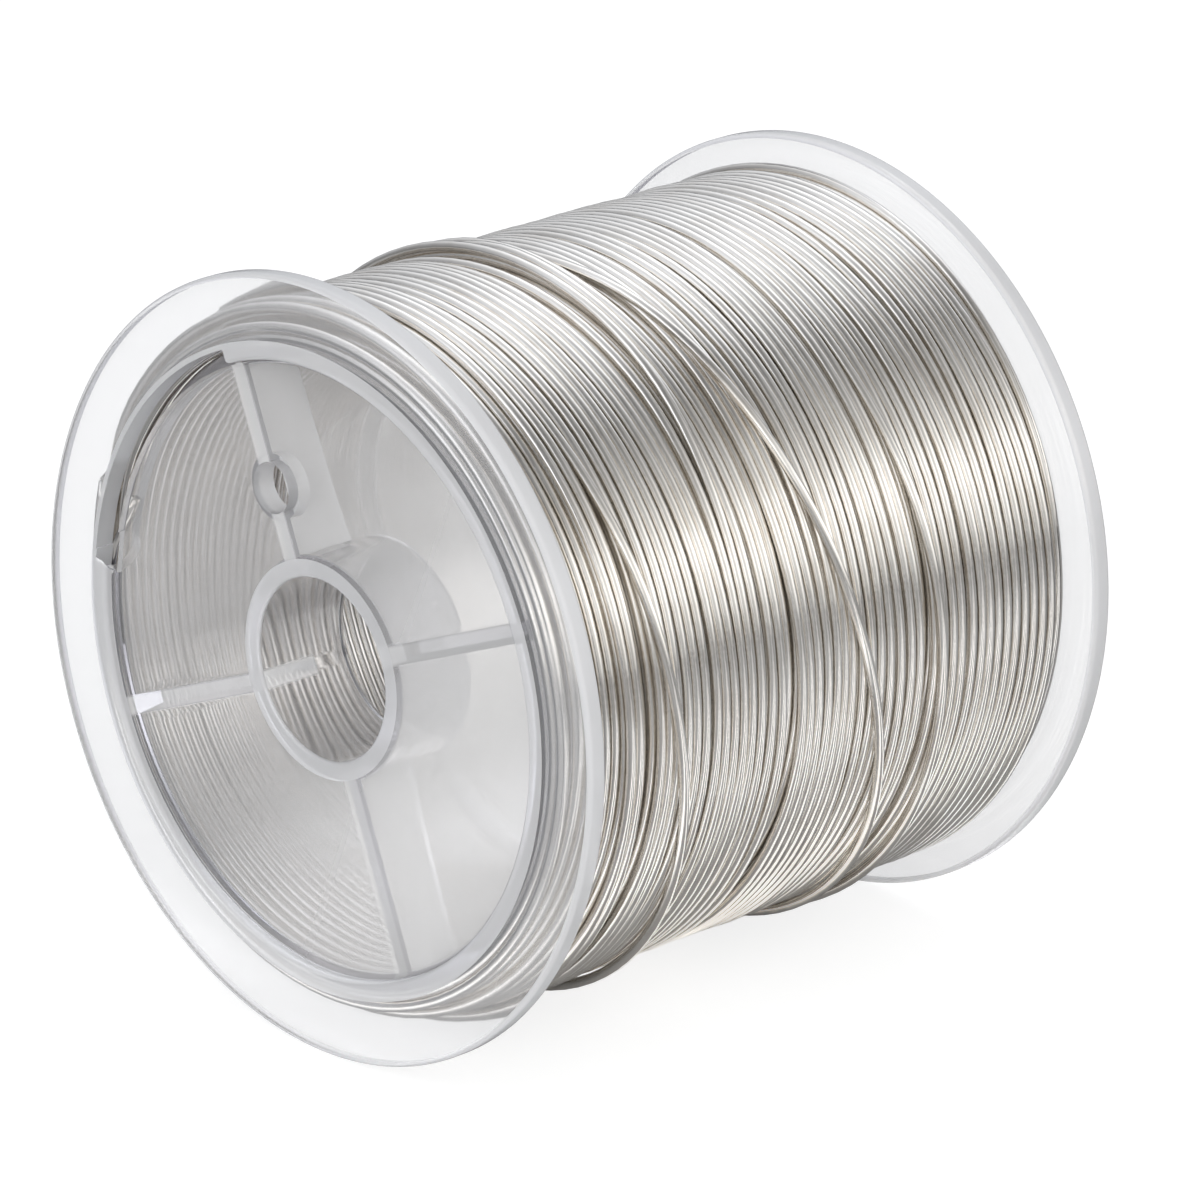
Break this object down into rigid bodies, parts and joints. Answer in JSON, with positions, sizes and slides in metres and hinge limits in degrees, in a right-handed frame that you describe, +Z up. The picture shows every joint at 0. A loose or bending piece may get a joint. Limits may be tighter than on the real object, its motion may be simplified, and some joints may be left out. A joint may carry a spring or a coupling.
{
  "type": "wire spool",
  "caption": "Clear plastic spool with flanged half mouldings, a hub bore and drive-pin holes, wound with silver-coloured metal wire.",
  "frame": {"origin": "middle of the spool, on its axis and halfway between the flanges", "axes": "+Y along the spool's axis from the front end to the rear end, +Z up, +X to the right seen from the front; the spool lies on both rims"},
  "size_m": [0.075, 0.0672, 0.075],
  "materials": {
    "clear_plastic": "clear, slightly milky",
    "wire": "bright drawn wire"
  },
  "bodies": {
    "root": {"front_half": "clear_plastic", "rear_half": "clear_plastic", "inner_layers": "wire", "outer_layer": "wire"}
  },
  "joints": []
}
